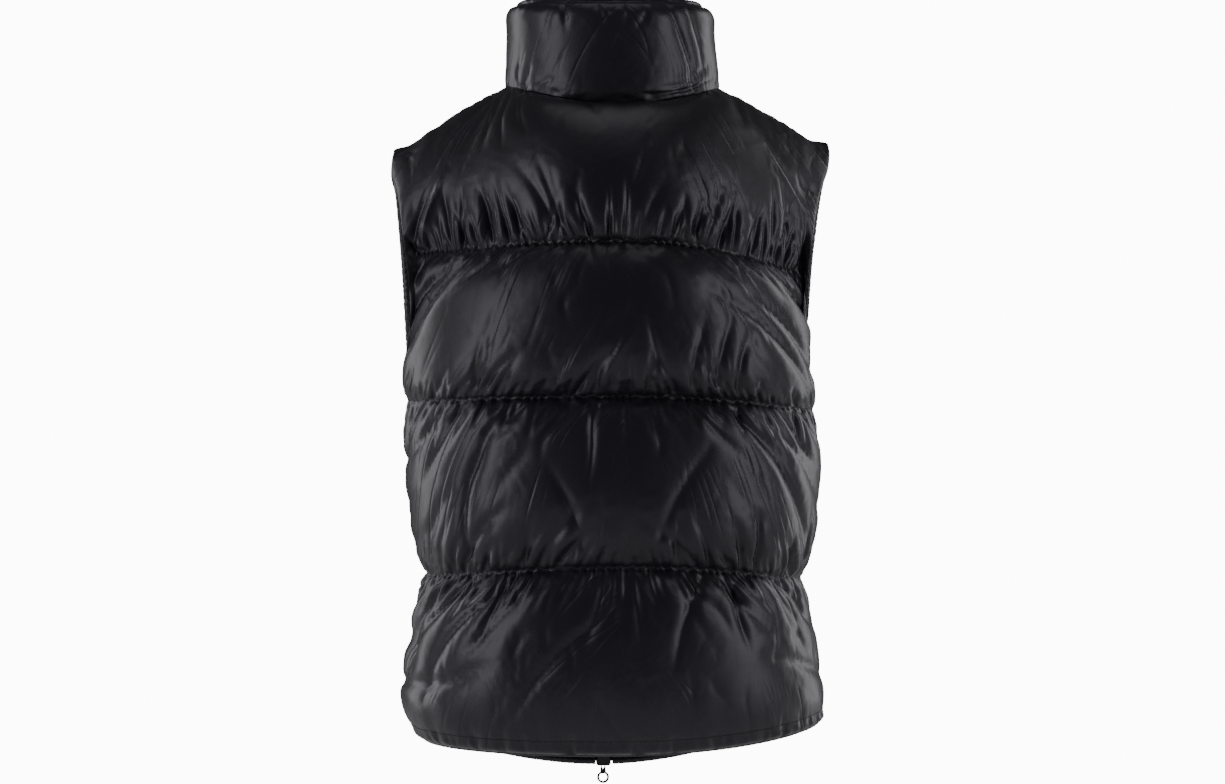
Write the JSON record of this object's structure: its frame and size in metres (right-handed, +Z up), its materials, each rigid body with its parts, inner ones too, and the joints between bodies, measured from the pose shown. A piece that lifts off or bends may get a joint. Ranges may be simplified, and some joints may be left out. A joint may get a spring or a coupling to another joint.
{
  "type": "puffer vest",
  "caption": "Black glossy sleeveless down puffer jacket with a padded stand collar, wide quilted channels and a two-way front zip, worn shape.",
  "frame": {"origin": "on the centre line, level with the points where the shoulders meet the neck", "axes": "+Z up, -Y towards the front zip, +X towards the wearer's left"},
  "size_m": [0.4382, 0.342, 0.7928],
  "materials": {
    "shell": "glossy",
    "zip_tape": "matte",
    "zip_teeth": "satin",
    "zip_metal": "satin"
  },
  "bodies": {
    "vest": {"back_panel": "shell", "front_left": "shell", "front_right": "shell", "collar": "shell", "hem_roll": "shell", "armhole_roll_left": "shell", "armhole_roll_right": "shell", "zip_tape_left": "zip_tape", "zip_tape_right": "zip_tape", "zip_chain": "zip_teeth", "zip_bottom_slider": "zip_metal", "zip_top_slider": "zip_metal"},
    "bottom_pull": {"zip_bottom_pull": "zip_metal"},
    "top_pull": {"zip_top_pull": "zip_metal"}
  },
  "joints": [
    {"name": "bottom_pull_swing", "type": "hinge", "parent": "vest", "child": "bottom_pull", "pos_m": [0, -0.14151, -0.68929], "axis": [1, 0, 0], "range_deg": [-130, 1]},
    {"name": "top_pull_swing", "type": "hinge", "parent": "vest", "child": "top_pull", "pos_m": [0, -0.08033, 0.04355], "axis": [1, 0, 0], "range_deg": [-130, 1]}
  ]
}
